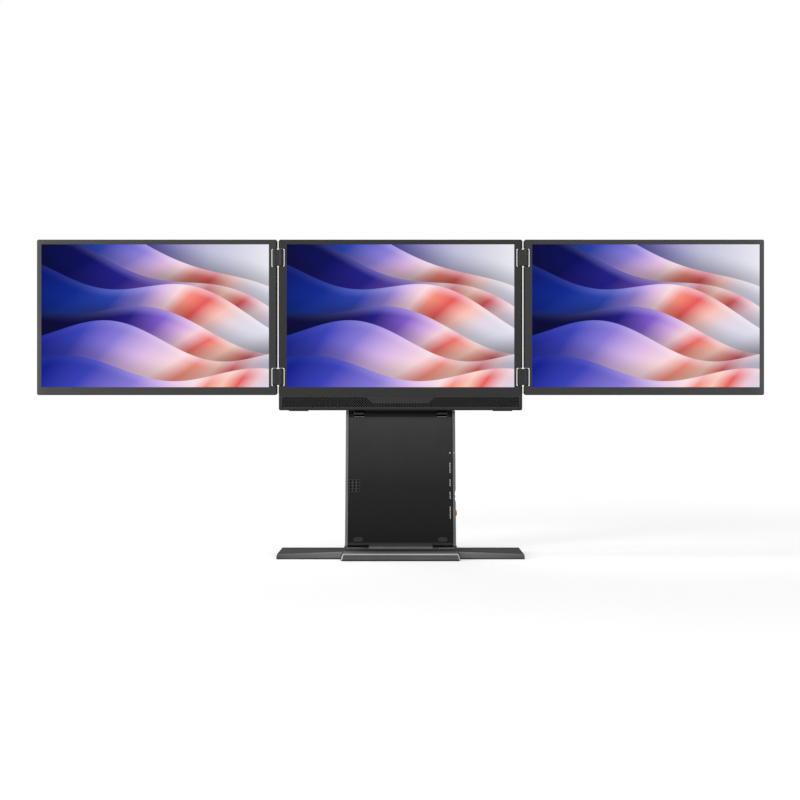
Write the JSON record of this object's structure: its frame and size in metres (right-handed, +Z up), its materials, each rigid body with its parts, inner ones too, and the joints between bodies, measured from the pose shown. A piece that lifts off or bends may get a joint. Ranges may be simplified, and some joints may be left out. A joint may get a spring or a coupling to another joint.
{
  "type": "laptop screen extender",
  "caption": "Portable displays hinged side by side on a folding column with a connection hub and a winged base.",
  "frame": {"origin": "on the desk, under the middle of the base", "axes": "+X to the viewer's right, -Y towards the viewer, +Z up"},
  "size_m": [0.9656, 0.177, 0.413],
  "materials": {
    "casing_black": "satin",
    "casing_metal": "satin",
    "display": "gloss",
    "backlight": "matt",
    "board": "satin",
    "rubber": "matt",
    "steel": "satin",
    "link_metal": "satin",
    "column_metal": "satin",
    "panel_black": "matt",
    "base_metal": "satin",
    "socket_metal": "satin",
    "light": "gloss",
    "toggle_black": "satin",
    "dial_orange": "satin"
  },
  "bodies": {
    "base": {"base_plate": "base_metal", "nose_cover": "base_metal", "base_floor": "steel", "rest_strip": "rubber", "hinge_lugs": "link_metal", "base_hinge_pin": "steel", "base_pad": "rubber", "wing_feet": "rubber", "base_screws": "steel"},
    "column": {"column_shell": "column_metal", "column_panel": "panel_black", "rest_pads": "rubber", "hub_board": "board", "usb_c_socket": "socket_metal", "mini_hdmi_socket": "socket_metal", "status_light": "light", "dial_axle": "steel", "tilt_rod": "steel"},
    "toggle": {"menu_toggle": "toggle_black"},
    "dial": {"dial_wheel": "dial_orange"},
    "centre_screen": {"centre_bezel": "casing_black", "centre_rear_cover": "casing_metal", "centre_display": "display", "centre_backlight": "backlight", "centre_link_pins": "steel", "centre_speaker_grille": "casing_black", "centre_speakers": "panel_black", "centre_bumpers": "rubber", "centre_driver_board": "board", "centre_hinge_arms": "link_metal"},
    "left_link": {"left_links": "link_metal"},
    "left_screen": {"left_bezel": "casing_black", "left_rear_cover": "casing_metal", "left_display": "display", "left_backlight": "backlight", "left_link_pins": "steel", "left_driver_board": "board"},
    "right_link": {"right_links": "link_metal"},
    "right_screen": {"right_bezel": "casing_black", "right_rear_cover": "casing_metal", "right_display": "display", "right_backlight": "backlight", "right_link_pins": "steel", "right_driver_board": "board"}
  },
  "joints": [
    {"name": "column_tilt", "type": "hinge", "parent": "base", "child": "column", "pos_m": [0, 0.0182, 0.0063], "axis": [1, 0, 0], "range_deg": [-10, 80]},
    {"name": "screen_tilt", "type": "hinge", "parent": "column", "child": "centre_screen", "pos_m": [0, 0.06191, 0.18204], "axis": [1, 0, 0], "range_deg": [-120, 15]},
    {"name": "toggle_slide", "type": "slide", "parent": "column", "child": "toggle", "axis": [0, 0.2096, 0.9778], "range_m": [-0.0025, 0.0025], "stiffness_N_per_m": 80},
    {"name": "dial_turn", "type": "hinge", "parent": "column", "child": "dial", "pos_m": [0.0668, 0.03659, 0.05032], "axis": [0, 0.9778, -0.2096], "continuous": true},
    {"name": "left_link_turn", "type": "hinge", "parent": "centre_screen", "child": "left_link", "pos_m": [-0.15875, 0.04731, 0.31], "axis": [0, 0, 1], "range_deg": [-90, 90]},
    {"name": "left_screen_turn", "type": "hinge", "parent": "left_link", "child": "left_screen", "pos_m": [-0.16705, 0.04731, 0.31], "axis": [0, 0, 1], "range_deg": [-90, 90]},
    {"name": "right_link_turn", "type": "hinge", "parent": "centre_screen", "child": "right_link", "pos_m": [0.15875, 0.04731, 0.31], "axis": [0, 0, 1], "range_deg": [-90, 90]},
    {"name": "right_screen_turn", "type": "hinge", "parent": "right_link", "child": "right_screen", "pos_m": [0.16705, 0.04731, 0.31], "axis": [0, 0, 1], "range_deg": [-90, 90]}
  ]
}
